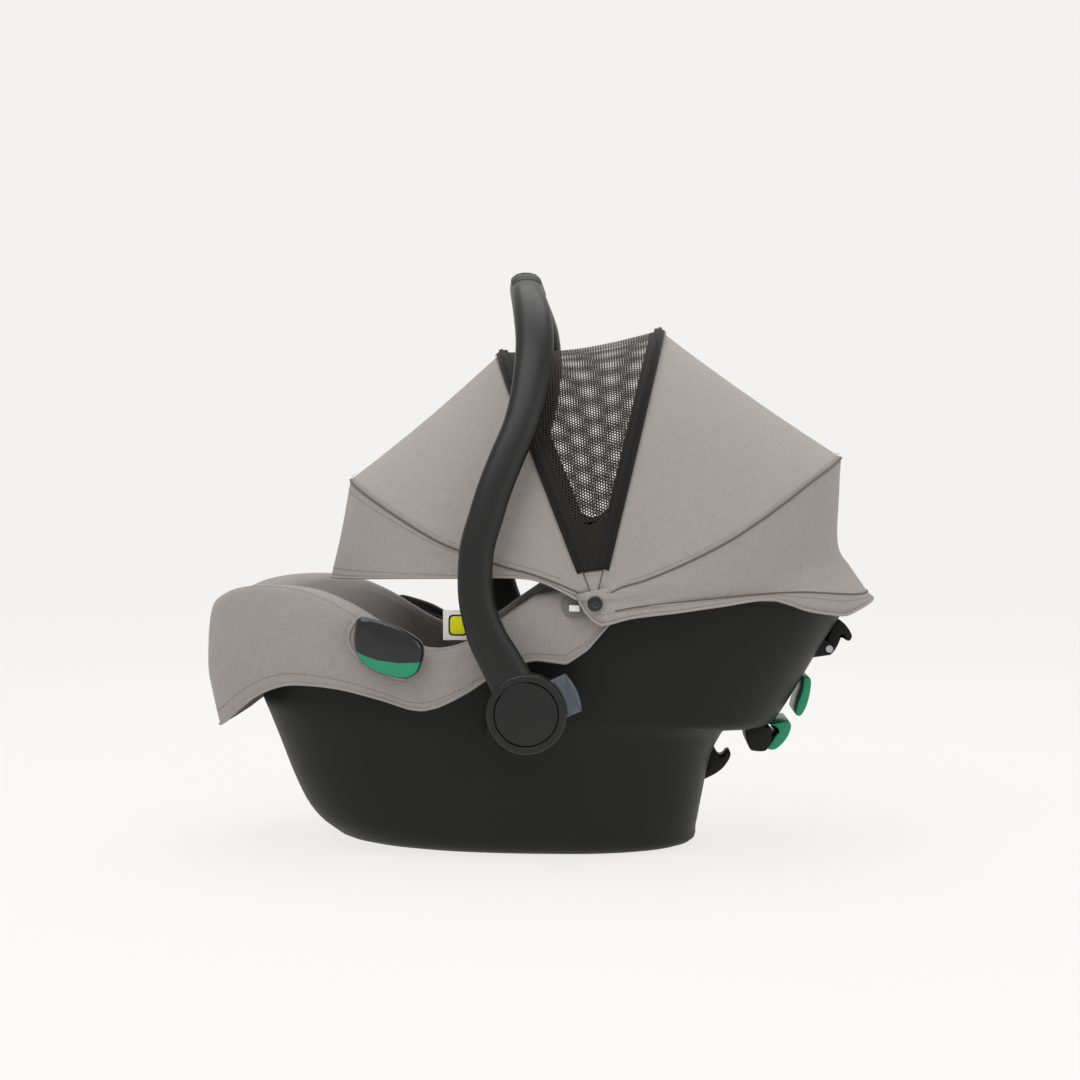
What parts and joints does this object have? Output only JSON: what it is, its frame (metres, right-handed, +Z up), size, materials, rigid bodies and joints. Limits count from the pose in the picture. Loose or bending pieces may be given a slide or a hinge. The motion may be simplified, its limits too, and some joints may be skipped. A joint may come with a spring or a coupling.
{
  "type": "infant car seat",
  "caption": "Rear-facing infant carrier with rocking tub shell, swinging carry handle, folding mesh-window canopy, padded harness seat and sliding headrest.",
  "frame": {"origin": "on the flat sole of the shell, straight below the handle's pivot axis", "axes": "+X from the foot end to the head end, +Y from the seat's left side to its right side, +Z up"},
  "size_m": [0.6619, 0.4418, 0.5652],
  "materials": {
    "shell": "fine moulded texture",
    "foam": "moulded energy-absorbing foam",
    "fabric": "woven heather cloth",
    "lining": "soft knitted cloth",
    "satin": "satin moulded",
    "steel": "zinc plated",
    "green": "satin moulded",
    "yellow": "plain printed ribbon",
    "gloss": "polished",
    "red": "polished",
    "webbing": "woven polyester webbing",
    "slate": "satin moulded",
    "white": "moulded",
    "mesh": "open mesh and woven tape"
  },
  "bodies": {
    "seat": {"shell": "shell", "foam_liner": "foam", "seat_cover": "fabric", "body_insert": "lining", "lever_pin": "steel", "base_hook": "satin", "release_block": "satin", "shoulder_guide_upper": "green", "shoulder_guide_lower": "green", "side_tag": "yellow", "belt_guide_left": "gloss", "belt_guide_right": "gloss", "belt_guide_inlay_left": "green", "belt_guide_inlay_right": "green", "buckle_body": "gloss", "crotch_strap": "webbing", "crotch_pad": "lining", "buckle_tongue_left": "gloss", "buckle_tongue_right": "gloss", "shoulder_strap_left": "webbing", "shoulder_strap_right": "webbing", "shoulder_pad_left": "lining", "shoulder_pad_right": "lining", "adjuster_housing": "satin", "adjuster_strap": "webbing", "headrest_rail": "satin", "canopy_mount_left": "satin", "canopy_mount_right": "satin", "canopy_pin_left": "gloss", "canopy_pin_right": "gloss", "canopy_clip_left": "white", "canopy_clip_right": "white", "rear_bow": "satin", "canopy_boot": "fabric"},
    "handle": {"handle": "satin", "handle_grip": "gloss", "pivot_bolt_left": "steel", "pivot_bolt_right": "steel", "hub_cap_left": "satin", "hub_cap_right": "satin"},
    "release_button_left": {"release_button_left": "slate", "button_spring_left": "steel"},
    "release_button_right": {"release_button_right": "slate", "button_spring_right": "steel"},
    "third_bow": {"third_bow": "satin", "zip_rear": "mesh", "rear_panel": "fabric", "window_mesh": "mesh", "canopy_patch_left": "fabric", "canopy_patch_right": "fabric"},
    "second_bow": {"second_bow": "satin", "zip_front": "mesh", "front_panel": "fabric"},
    "front_bow": {"front_bow": "satin", "visor": "fabric"},
    "headrest": {"headrest_plate": "satin", "headrest_cushion": "lining"},
    "release_lever": {"release_lever": "satin"},
    "buckle_button": {"buckle_button": "red"},
    "adjuster_button": {"adjuster_button": "slate"}
  },
  "joints": [
    {"name": "handle_swing", "type": "hinge", "parent": "seat", "child": "handle", "pos_m": [0, 0, 0.149], "axis": [0, 1, 0], "range_deg": [0, 100]},
    {"name": "release_press_left", "type": "slide", "parent": "handle", "child": "release_button_left", "axis": [-0.9135, 0, -0.4067], "range_m": [0, 0.005], "stiffness_N_per_m": 600, "springref_m": -0.004, "deforming": ["button_spring_left"]},
    {"name": "release_press_right", "type": "slide", "parent": "handle", "child": "release_button_right", "axis": [-0.9135, 0, -0.4067], "range_m": [0, 0.005], "stiffness_N_per_m": 600, "springref_m": -0.004, "deforming": ["button_spring_right"]},
    {"name": "canopy_third", "type": "hinge", "parent": "seat", "child": "third_bow", "pos_m": [0.062, 0, 0.248], "axis": [0, 1, 0], "range_deg": [0, 44.8], "deforming": ["rear_panel", "window_mesh", "canopy_patch_left", "canopy_patch_right", "zip_rear"]},
    {"name": "canopy_second", "type": "hinge", "parent": "third_bow", "child": "second_bow", "pos_m": [0.062, 0, 0.248], "axis": [0, 1, 0], "range_deg": [0, 32.2], "deforming": ["front_panel", "zip_front"]},
    {"name": "canopy_front", "type": "hinge", "parent": "second_bow", "child": "front_bow", "pos_m": [0.062, 0, 0.248], "axis": [0, 1, 0], "range_deg": [0, 38.4], "deforming": ["visor"]},
    {"name": "headrest_slide", "type": "slide", "parent": "seat", "child": "headrest", "axis": [0.8704, 0, 0.4924], "range_m": [0, 0.045]},
    {"name": "lever_pull", "type": "hinge", "parent": "seat", "child": "release_lever", "pos_m": [0.2905, 0, 0.195], "axis": [0, -1, 0], "range_deg": [0, 12], "stiffness_Nm_per_rad": 0.6, "springref_deg": -14.32},
    {"name": "buckle_press", "type": "slide", "parent": "seat", "child": "buckle_button", "axis": [0, 0, -1], "range_m": [0, 0.0024], "stiffness_N_per_m": 800, "springref_m": -0.003},
    {"name": "adjuster_press", "type": "slide", "parent": "seat", "child": "adjuster_button", "axis": [-0.6024, 0, -0.7982], "range_m": [0, 0.002], "stiffness_N_per_m": 800, "springref_m": -0.003}
  ],
  "couplings": [
    {"joint": "canopy_second", "follows": "canopy_third", "ratio": 0.71875},
    {"joint": "canopy_front", "follows": "canopy_third", "ratio": 0.85714}
  ]
}
